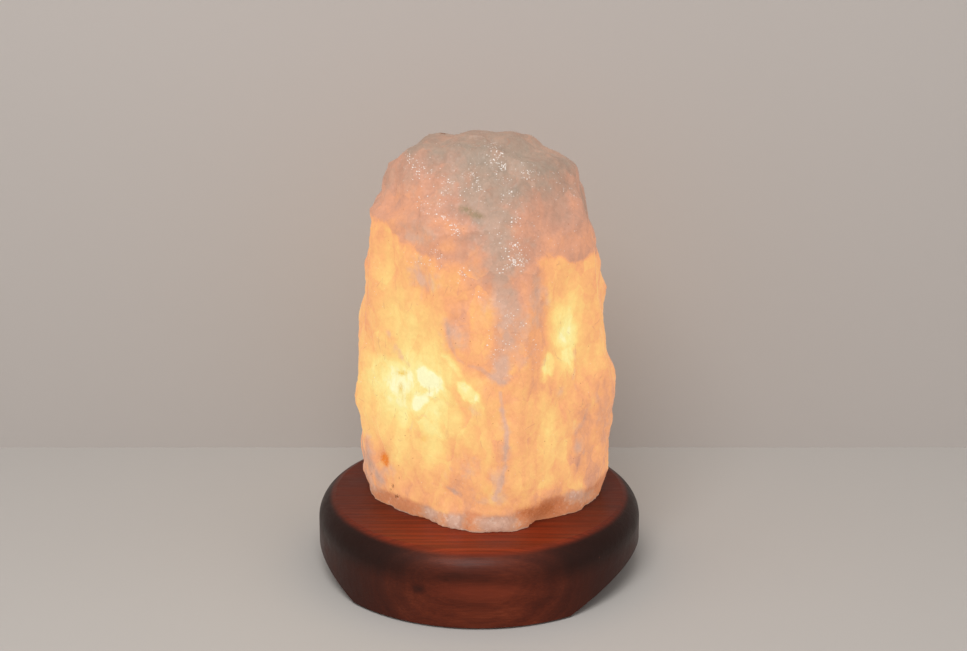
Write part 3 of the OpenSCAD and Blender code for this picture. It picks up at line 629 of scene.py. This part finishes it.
def in_rings(values):
    """Values of the skin, put in the order of the block's rings, with 0.5 for the bore's points."""
    return np.concatenate([values.reshape(-1, columns)[::-1].ravel(), np.full(len(bore) * columns, 0.5)])


toward = softened(toward, 5)
x, z = seen_at(world)
ragged = 1.3 * cloud(world, 9.0, 21) + 1.1 * cloud(world, 4.0, 22) + 0.8 * cloud(world, 1.8, 23)
big_tone, mid_tone, fine_tone = [in_rings(n) - 0.5 for n in (big_name, mid_name, fine_name)]
plane_tone = np.random.default_rng(3).uniform(-1, 1, len(break_planes))[in_rings(plane).astype(int)]
# Painted light in the relief: the knobs of the break are painted brighter and its hollows duller.
relief_painted_light = in_rings(shift) - softened(in_rings(shift), 30)

# The front, as it is lit: warm below, dull in the crown
soft = 1.3 + patches(x, z, [[-6, 138, 16, 14, 8.0], [18, 102, 16, 8, 4.0], [30, 135, 5, 14, 2.5]])
dull = smooth_step(inside_by(x, z, dull_outline) + 1.3 * ragged + 2.4 * mid_tone, -soft, soft)
drift = 0.03 * cloud(world, [9, 9, 24], 31) + 0.03 * cloud(world, [3, 3, 8], 32)
sheets = 0.035 * np.tanh(6 * cloud(world, [9, 9, 22], 35)) + 0.025 * np.tanh(6 * cloud(world, [4, 4, 8], 36))
# The tone holds the painted light of the relief as well as the random tones of the breaks.
tone = 0.07 * big_tone + 0.07 * mid_tone + 0.03 * fine_tone + sheets + 0.05 * np.clip(relief_painted_light, -1, 1)
lit = 0.42 + patches(x, z, warm_patches) + drift + tone
for softness, gain, outline in windows:
    edge = inside_by(x, z, outline) + 0.75 * ragged
    lit += gain * (0.65 * smooth_step(edge, -softness, softness)
                   + 0.35 * smooth_step(edge, -softness, 4 * softness))
veined = np.zeros(len(x))
for width, dim, change, line in healed:
    vein = np.exp(-((beside(x, z, line) + 0.5 * ragged) / width) ** 2)
    lit += change * vein
    veined += dim * vein
faint = 0.02 + 0.28 * (204 - z) / 100 + patches(x, z, dull_patches) + 0.5 * drift + 0.45 * tone
front_warmth = lit * (1 - dull) + np.clip(faint, 0, 0.36) * dull
mottle = 0.6 * cloud(world, 5.0, 33) + 0.6 * cloud(world, 2.4, 34) + 0.3 * cloud(world, 1.2, 37)
front_grey = np.clip(patches(x, z, grey_patches) + 0.06 * dull + veined, 0, 1)
front_grey += 0.45 * mottle * np.clip(4 * front_grey, 0.12, 1)

# The sides and the back: warmer near the bulb
gap = np.linalg.norm((world - bulb_at) / [1.0, 1.0, 1.25], axis=1)
around = 0.74 - (gap - 45.0) / 62.0 + 0.15 * plane_tone + 0.15 * cloud(world, [26, 26, 44], 41)
around += 0.10 * cloud(world, [10, 10, 22], 42) + 0.16 * big_tone + 0.07 * mid_tone + drift + sheets
round_dull = smooth_step(world[:, 2] + 16 * cloud(world, 30.0, 43) + 14 * plane_tone + ragged, 146, 153)
round_warmth = (np.clip(around, 0.24, 1.0) * (1 - round_dull)
                + np.clip(around + 0.05, 0.02, 0.26) * round_dull)
round_grey = np.clip(round_dull * (0.40 + 0.45 * cloud(world, 22.0, 44))
                     + 0.35 * np.clip(cloud(world, 13.0, 45) - 0.2, 0, 1), 0, 1)
round_grey += 0.55 * mottle * np.clip(4 * round_grey, 0.12, 1)

# The sawn foot keeps a chalky, crushed band whose upper edge rises and falls
flat = world * [1, 1, 0]
as_seen = np.interp(x, *zip(*crushed_edge)) - z
all_round = stone_foot + 7.5 + 2.4 * cloud(flat, 16.0, 51) + 1.6 * cloud(flat, 6.0, 52) - world[:, 2]
near_foot = smooth_step(world[:, 2], stone_foot + 30, stone_foot + 18)
band_by = toward * as_seen + (1 - toward) * all_round
band = smooth_step(band_by + 0.8 * cloud(world, 3.5, 53) + 0.5 * cloud(world, 1.6, 54), -1.2, 1.4) * near_foot
round_chalk = np.clip(0.5 + 0.9 * cloud(flat, 9.0, 55), 0, 1.2)
# Painted glints on the sides and the back, more where the stone is greyer.
round_painted_glints = smooth_step(round_grey + 0.5 * cloud(world, 8.0, 46), 0.35, 1.2)

layers = {name: toward * patches(x, z, listed) for name, listed in spots.items()}
layers["specks"] += patches(x, z, [[-15, 211, 3.0, 1.4, 1.3], [-17, 212, 1.5, 1.5, 0.8]])
layers["band"] = band
for name, front, behind in (
        ("warmth", front_warmth, round_warmth), ("greyness", front_grey, round_grey),
        ("chalky", patches(x, z, chalky_patches), round_chalk),
        ("painted_glints", np.clip(patches(x, z, painted_glint_patches), 0, 1.5), round_painted_glints)):
    layers[name] = toward * front + (1 - toward) * behind
in_bore = np.arange(len(world)) >= len(plane)
for name, values in layers.items():
    values = np.where(in_bore, 0.8 + 0.06 * cloud(world, 6.0, 61) if name == "warmth" else 0.0, values)
    at_poles = [values[:columns].mean(), values[-columns:].mean()]
    layer = stone.data.attributes.new(name, "FLOAT", "POINT")
    layer.data.foreach_set("value", np.clip(np.concatenate([values, at_poles]), 0, 1.6))


def layer_of(tree, name):
    """A value that the block's points carry."""
    return add(tree, "Attribute", attribute_name=name).outputs["Fac"]


def channel(tree, cells, k):
    """One of three random numbers from 0 to 1 that each cell of a pattern has."""
    return add(tree, "SeparateColor", {"Color": cells.outputs["Color"]}).outputs[k]


at = place(tree)
wisps = noise(tree, place(tree, (1, 1, 3.2)), 3.0, 4.0, 0.6, 0.6)
grain = noise(tree, at, 0.8, 4.0, 0.65)
sway = add(tree, "TexNoise", {"Vector": at, "Scale": 0.16, "Detail": 2.0}).outputs["Color"]


def break_cells(tree, size, turn, bend):
    """Small planes left by the break: the block is cut in cells about that size, turned by some
    degrees, and each cell leans its own way. Returns the lean, offset from the cell's middle dotted
    with a random direction, in cell sizes, and the cell's random tone; both jump at the edges."""
    spot = add(tree, "Mapping", {"Vector": at, "Rotation": [math.radians(a) for a in turn],
                                 "Scale": size}, vector_type="TEXTURE").outputs["Vector"]
    here = vectors(tree, "ADD", spot, vectors(tree, "SCALE", sway, scale=bend))
    cells = add(tree, "TexVoronoi", {"Vector": here, "Scale": 1.0})
    off = vectors(tree, "SUBTRACT", here, cells.outputs["Position"])
    way = vectors(tree, "SUBTRACT", cells.outputs["Color"], (0.5, 0.5, 0.5))
    return vectors(tree, "DOT_PRODUCT", off, way), sums(tree, "SUBTRACT", channel(tree, cells, 0), 0.5)


lean_wide, own_wide = break_cells(tree, (12.0, 12.0, 21.0), (8, 14, 0), 0.30)
lean_small, own_small = break_cells(tree, (5.0, 5.0, 8.4), (-12, 20, 30), 0.25)
lean_fine, own_fine = break_cells(tree, (1.7, 1.7, 2.4), (20, -15, 10), 0.2)
warm = sums(tree, "ADD", layer_of(tree, "warmth"), sums(tree, "MULTIPLY_ADD", wisps, 0.04, -0.02))
calm = remap(tree, layer_of(tree, "warmth"), 0.14, 0.40, 0.5, 1.0)
for pattern, gain in ((lean_wide, 0.15), (own_wide, 0.045), (lean_small, 0.09), (own_small, 0.03),
                      (lean_fine, 0.04)):
    warm = sums(tree, "MULTIPLY_ADD", times(tree, pattern, gain), calm, warm)
glow = stops(
    tree, warm, (0.0, (172, 141, 123)), (0.06, (189, 147, 125)), (0.13, (208, 153, 127)),
    (0.22, (227, 161, 126)), (0.35, (249, 174, 120)), (0.46, (253, 187, 121)), (0.6, (253, 203, 126)),
    (0.74, (253, 220, 137)), (0.88, (253, 235, 156)), (1.0, (254, 248, 196)))
mist = stops(
    tree, warm, (0.0, (168, 148, 131)), (0.1, (187, 156, 136)), (0.25, (212, 169, 145)),
    (0.42, (228, 178, 150)), (0.7, (240, 190, 152)))
cloudy = sums(tree, "ADD", layer_of(tree, "greyness"), sums(tree, "MULTIPLY_ADD", grain, 0.3, -0.15))
patchy = remap(tree, layer_of(tree, "greyness"), 0.02, 0.3, 0.15, 1.0)
for pattern, gain in ((own_small, 0.18), (lean_wide, 0.16), (own_fine, 0.14)):
    cloudy = sums(tree, "MULTIPLY_ADD", times(tree, pattern, gain), patchy, cloudy)
colour = mixed(tree, remap(tree, cloudy, 0.12, 0.85, 0.0, 0.95), glow, mist)

# Fine healed cracks, brown flecks and the sugary grain of the break
swirl = add(tree, "TexNoise", {"Vector": at, "Scale": 0.22, "Detail": 2.0}).outputs["Color"]
wavy = vectors(tree, "ADD", place(tree, (1, 1, 1.8)), vectors(tree, "SCALE", swirl, scale=0.8))
cracks = add(tree, "TexVoronoi", {"Vector": wavy, "Scale": 0.10}, feature="DISTANCE_TO_EDGE")
crack = times(tree, remap(tree, cracks.outputs["Distance"], 0.0, 0.022, 1.0, 0.0),
              remap(tree, noise(tree, at, 6.0, 2.0), 0.57, 0.66))
flecks = add(tree, "TexVoronoi", {"Vector": at, "Scale": 0.30})
fleck = times(tree, remap(tree, flecks.outputs["Distance"], 0.05, 0.12, 1.0, 0.0),
              remap(tree, channel(tree, flecks, 0), 0.82, 0.84))
colour = painted(tree, colour, (times(tree, crack, 0.40), (196, 138, 112)),
                 (times(tree, fleck, 0.6), (170, 104, 72)))
sugar = channel(tree, add(tree, "TexVoronoi", {"Vector": at, "Scale": 0.8}), 1)
shade = sums(tree, "ADD", remap(tree, sugar, 0.0, 1.0, 0.98, 1.035),
             remap(tree, grain, 0.3, 0.7, -0.02, 0.02))
colour = vectors(tree, "SCALE", colour, scale=shade)

# The crushed band, then ochre, rust, mustard and olive stains and dark specks
crumbs = noise(tree, at, 2.4, 5.0, 0.7)
chalk = sums(tree, "ADD", layer_of(tree, "chalky"), sums(tree, "MULTIPLY_ADD", crumbs, 1.2, -0.6))
crushed = stops(tree, chalk, (0.05, (222, 144, 102)), (0.3, (222, 161, 126)), (0.6, (206, 160, 138)),
                (1.0, (222, 180, 158)))
crumb = channel(tree, add(tree, "TexVoronoi", {"Vector": at, "Scale": 0.9}), 2)
crumb = sums(tree, "ADD", crumb, times(tree, layer_of(tree, "chalky"), 0.10))
crushed = painted(tree, crushed, (remap(tree, crumb, 0.93, 1.04, 0.0, 0.35), (242, 214, 196)))
colour = mixed(tree, times(tree, layer_of(tree, "band"), 0.92), colour, crushed)
stains = [("ochre", 0.0, 1.0, 0.85, (194, 108, 60)), ("rust", 0.15, 0.8, 0.95, (236, 128, 36)),
          ("mustard", 0.1, 0.9, 0.85, (236, 184, 58)), ("olive", 0.1, 0.9, 0.75, (150, 130, 96)),
          ("specks", 0.45, 0.85, 0.8, (120, 70, 38))]
for name, low, high, most, tint in stains:
    broken = times(tree, layer_of(tree, name), remap(tree, grain, 0.34, 0.6, 0.45, 1.25))
    colour = painted(tree, colour, (remap(tree, broken, low, high, 0.0, most), tint))

# Painted glints: clusters of small white chips painted into the colour, standing in for light caught by
# broken steps of the crystal
glint_paint = 0.0
clustered = times(tree, layer_of(tree, "painted_glints"),
                  remap(tree, noise(tree, at, 3.0, 2.0), 0.38, 0.58, 0.0, 0.45))
ragged_by = sums(tree, "MULTIPLY_ADD", noise(tree, at, 4.0, 2.0), 0.6, -0.3)
for per_mm, share in ((1.1, 0.96), (0.75, 1.03)):
    steps = add(tree, "TexVoronoi", {"Vector": place(tree, (1.0, 1.0, 0.7)), "Scale": per_mm},
                distance="CHEBYCHEV")
    chip = sums(tree, "ADD", steps.outputs["Distance"], ragged_by)
    chip = sums(tree, "MULTIPLY_ADD", layer_of(tree, "painted_glints"), -0.12, chip)
    chip = times(tree, remap(tree, chip, 0.10, 0.24, 1.0, 0.0),
                 remap(tree, lumps(tree, (0.5, 0.5, 1.1), 2.0), 0.45, 0.51))
    picked = sums(tree, "ADD", channel(tree, steps, 0), clustered)
    glint_paint = sums(tree, "MAXIMUM", glint_paint, times(tree, chip, remap(tree, picked, share, share + 0.1)))
colour = painted(tree, colour, (times(tree, glint_paint, 0.95), (252, 244, 236)))

# The bulb's light gives a share of the stone's colour; the rest shows by the light of the room
held = sums(tree, "SUBTRACT", remap(tree, warm, 0.05, 0.6, 0.52, 0.88),
            times(tree, layer_of(tree, "band"), 0.20))
# The painted glints glow almost fully, so that they stay bright under any light.
held = sums(tree, "MAXIMUM", held, times(tree, glint_paint, 0.9))
drive(shader, Emission_Color=vectors(tree, "SCALE", colour, scale=held),
      Base_Color=vectors(tree, "SCALE", colour, scale=sums(tree, "SUBTRACT", 1.0, held)),
      Roughness=remap(tree, noise(tree, at, 2.2, 3.0), 0.35, 0.65, 0.42, 0.65))
relief = bumped(shader, lean_small, 1.6, 0.7)
relief = bumped(shader, lean_fine, 0.7, 0.8, under=relief)
bumped(shader, noise(tree, at, 1.4, 4.0, 0.6), 0.10, under=relief)

# Steel. The holder's plate, its rivets and screws are zinc plated; the clips and the contact
# spring are bright spring steel.
zinc, tree, shader = finish("zinc_plate", Metallic=1.0)
bloom = lumps(tree, (4, 4, 4))
tinted(shader, bloom, (150, 152, 156), (192, 194, 198), rough=(0.28, 0.45))
bumped(shader, lumps(tree, (30, 0.4, 0.4), 2.0), 0.02)
coat_with(zinc, "clip_plate", "clip_rivets", "riser_screws")

spring_steel, tree, shader = finish("spring_steel", Metallic=1.0)
drawn = lumps(tree, (0.5, 0.5, 12))
tinted(shader, drawn, (120, 122, 128), (168, 170, 176), rough=(0.2, 0.34))
coat_with(spring_steel, "spring_clips", "contact_spring")

# Riser. A tube moulded in ivory plastic, screwed by its flange to the holder's plate. It holds the
# socket up in the stone.
ivory, tree, shader = finish("ivory_plastic", Specular_IOR_Level=0.4)
flow = lumps(tree, (3, 3, 14))
tinted(shader, flow, (226, 218, 198), (240, 234, 218), rough=(0.38, 0.5))
bumped(shader, lumps(tree, (0.6, 0.6, 0.6)), 0.03)
coat_with(ivory, "riser_tube")

# Socket core. A glossy moulding of black phenolic, with the fine flecks of its filler. It sits in
# the riser and carries the socket's brass.
phenolic, tree, shader = finish("black_phenolic", Roughness=0.25)
filler = lumps(tree, (0.7, 0.7, 0.7), 4.0, 0.7)
tinted(shader, filler, (24, 22, 21), (58, 50, 45), low=0.4, high=0.75)
bumped(shader, filler, 0.02)
coat_with(phenolic, "socket_core")

# Brass. The socket's rivet, terminals and contact are pressed from sheet and slightly dull. Its
# screw shell and the bulb's brighter cap have a thread rolled into the sheet, right-handed, with
# 0.25 mm between them, so that the bulb rises by one pitch a turn.
brasses = []
for name, low, high in (("pressed_brass", (176, 138, 74), (216, 182, 112)),
                        ("bright_brass", (204, 168, 98), (232, 204, 140))):
    brass, tree, shader = finish(name, Metallic=1.0)
    tinted(shader, lumps(tree, (3, 3, 3), 4.0), low, high, rough=(0.22, 0.40))
    brasses.append(brass)
dull_brass, bright_brass = brasses
coat_with(dull_brass, "shell_rivet", "side_terminal", "centre_terminal", "terminal_screws",
          "plunger_guide", "contact_plunger")

pitch = 2.54
thread_depth = 0.5
play = 0.25
floor_thick = 0.4
cap_r = 5.95
cap_sheet = 0.35
cap_low, cap_high = 51.5, 66.0
cap_thread = (cap_low + 0.7, cap_high - 3.8)
cap_foot_r, cap_hole_r = 5.28, 4.75
shell_r = cap_r + play
shell_sheet = 0.4
shell_low, shell_high = 45.0, 65.5
shell_thread = (shell_low + 1.5, cap_high - 5.0)
shell_hole_r = 2.8
round_turns = 2 * np.pi * np.arange(96) / 96


def rolled(z, thread, crest, below, above):
    """Radius of a sheet with a rolled thread, for each height and direction: the crest radius less
    half the depth times (1 - cosine of the height in pitches less the turn). Within 0.8 mm of the
    thread's start and end the radius goes over to the plain ones below and above."""
    start, end = thread
    wave = crest - thread_depth / 2 * (1 - np.cos(2 * np.pi * z[:, None] / pitch - round_turns))
    in_low = smooth_step(z, start, start + 0.8)[:, None]
    in_high = smooth_step(z, end - 0.8, end)[:, None]
    return (below * (1 - in_low) + wave * in_low) * (1 - in_high) + above * in_high


def sheet_wall(name, heights, outer, inner, foot, material, body):
    """A closed wall of sheet: its outer side upwards, its inner side downwards and the foot's rings,
    each (radius, height), joined ring to ring and back to the start."""
    n = len(round_turns)
    rows = [*zip(outer, heights), *zip(inner[::-1], heights[::-1]), *foot]
    points = np.concatenate([np.stack([r * np.cos(round_turns), r * np.sin(round_turns), np.full(n, z)], 1)
                             for r, z in rows])
    j, k = np.meshgrid(np.arange(len(rows)), np.arange(n), indexing="ij")
    j2, k2 = (j + 1) % len(rows), (k + 1) % n
    faces = np.stack([j * n + k, j * n + k2, j2 * n + k2, j2 * n + k], -1).reshape(-1, 4)
    return piece(name, points, faces.tolist(), material, body)


cap_z = np.linspace(cap_low, cap_high, 60)
cap_out = rolled(cap_z, cap_thread, cap_r, cap_r - thread_depth, cap_r)
cap_in = np.maximum(cap_out - cap_sheet, np.where(cap_z < cap_low + floor_thick, cap_foot_r, 0.0)[:, None])
cap = sheet_wall("threaded_cap", cap_z, cap_out, cap_in, [(cap_hole_r, cap_low)], bright_brass,
                 "bulb")
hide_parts("bulb_cap")

shell_z = np.linspace(shell_low, shell_high, 84)
shell_in = rolled(shell_z, shell_thread, shell_r, shell_r, shell_r)
shell_in = np.where(shell_z[:, None] < shell_low + floor_thick, shell_hole_r, shell_in)
shell_out = rolled(shell_z, shell_thread, *[shell_r + shell_sheet] * 3)
shell = sheet_wall("threaded_shell", shell_z, shell_out, shell_in, [], dull_brass, "holder")
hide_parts("screw_shell")

# Bulb. A small clear lamp: a solder contact and a black glass insulator in its cap, and above it
# the blown glass with the stem, the two leads and the glowing filament.
solder, tree, shader = finish("solder", Metallic=1.0, Roughness=0.35)
set_lumps = lumps(tree, (1, 1, 1))
tinted(shader, set_lumps, (150, 150, 148), (196, 196, 192))
bumped(shader, set_lumps, 0.1)
coat_with(solder, "bulb_contact")

vitrite, tree, shader = finish("black_glass", Roughness=0.1)
tinted(shader, lumps(tree, (2, 2, 0.8), 2.0), (12, 12, 18), (34, 34, 46))
coat_with(vitrite, "bulb_insulator")

glass, tree, shader = finish("clear_glass", Transmission_Weight=1.0, IOR=1.5, Roughness=0.02)
ripple = lumps(tree, (5, 5, 14), 2.0)
tinted(shader, ripple, (248, 249, 247), (255, 255, 253))
bumped(shader, ripple, 0.05)
coat_with(glass, "bulb_glass", "bulb_stem")

nickel, tree, shader = finish("nickel_wire", Metallic=1.0, Roughness=0.3)
tinted(shader, lumps(tree, (0.3, 0.3, 3), 2.0), (150, 146, 138), (190, 186, 178))
coat_with(nickel, "bulb_leads")

tungsten, tree, shader = finish("hot_tungsten", Emission_Strength=6.0, Roughness=0.5)
hot = remap(tree, sums(tree, "ABSOLUTE", axes(tree)["X"]), 2.0, 3.8, 1.0, 0.3)
drive(shader, Emission_Color=stops(tree, hot, (0.2, (214, 120, 50)), (1.0, (255, 226, 168))),
      Base_Color=stops(tree, hot, (0.2, (120, 110, 100)), (1.0, (190, 170, 140))))
coat_with(tungsten, "bulb_filament")

# Room. A plain pale table top and wall, a soft box overhead and an even sky. The table lets light
# through under the lamp, within the base's foot.
foot_side, foot_r = 46.0, 72.0


def shown(tree, share, first, second, output):
    """Puts shader first on the output, and shader second over it by a share."""
    choice = add(tree, "MixShader", {0: share, 1: first, 2: second}).outputs["Shader"]
    tree.links.new(choice, tree.nodes[output].inputs["Surface"])


def backdrop(name, corners, colour):
    """One flat sheet, seen from its front only, so that it never hides the lamp from behind. The
    part that the lamp stands on lets light through, so that its underside shows from below."""
    made, tree, shader = finish(name + "_paint", Roughness=0.9, Specular_IOR_Level=0.1)
    tint = lumps(tree, (300, 300, 300), 2.0)
    drive(shader, Base_Color=mixed(tree, tint, written(*colour), written(*[c - 3 for c in colour])))
    out_x = sums(tree, "ABSOLUTE", axes(tree)["X"])
    under = times(tree, remap(tree, out_x, foot_side, foot_side + 1.0, 1.0, 0.0),
                  near_spot(tree, (0, 0, 0), (1, 1, 1), foot_r, foot_r + 1.0, 1.0, smooth=False))
    unseen = sums(tree, "SUBTRACT", 1.0, add(tree, "LightPath").outputs["Is Camera Ray"])
    through = sums(tree, "MAXIMUM", add(tree, "NewGeometry").outputs["Backfacing"],
                   times(tree, under, unseen))
    clear = add(tree, "BsdfTransparent").outputs["BSDF"]
    shown(tree, through, shader.outputs["BSDF"], clear, "Material Output")
    mesh = bpy.data.meshes.new(name)
    mesh.from_pydata([(x * MM, y * MM, z * MM) for x, y, z in corners], [], [(0, 1, 2, 3)])
    mesh.materials.append(made)
    sheet = bpy.data.objects.new(name, mesh)
    scene.collection.objects.link(sheet)


backdrop("table_top", [(-3000, -3000, 0), (3000, -3000, 0), (3000, 3000, 0), (-3000, 3000, 0)],
         (188, 183, 178))
backdrop("wall", [(-3000, 140, -1), (3000, 140, -1), (3000, 140, 2500), (-3000, 140, 2500)],
         (189, 182, 177))

soft_box = bpy.data.objects.new("soft_box", bpy.data.lights.new("soft_box", "AREA"))
soft_box.data.shape = "DISK"
soft_box.data.size = 0.7
soft_box.data.energy = 8.0
soft_box.location = (-0.15, -0.75, 1.05)
soft_box.rotation_euler = (Vector((0, 0, 0.1)) - soft_box.location).to_track_quat("-Z", "Y").to_euler()
scene.collection.objects.link(soft_box)

sky = bpy.data.worlds.new("sky")
sky.use_nodes = True
tree = sky.node_tree
even = tree.nodes["Background"]
even.inputs["Color"].default_value = (1.0, 1.0, 1.0, 1.0)
even.inputs["Strength"].default_value = 0.74
pale = add(tree, "Background", {"Color": (0.62, 0.58, 0.54, 1.0), "Strength": 1.0})
rays = add(tree, "LightPath").outputs
seen = sums(tree, "MAXIMUM", rays["Is Camera Ray"],
            sums(tree, "MAXIMUM", rays["Is Transmission Ray"], rays["Is Glossy Ray"]))
shown(tree, seen, even.outputs["Background"], pale.outputs["Background"], "World Output")
scene.world = sky
scene.view_settings.view_transform = "Standard"
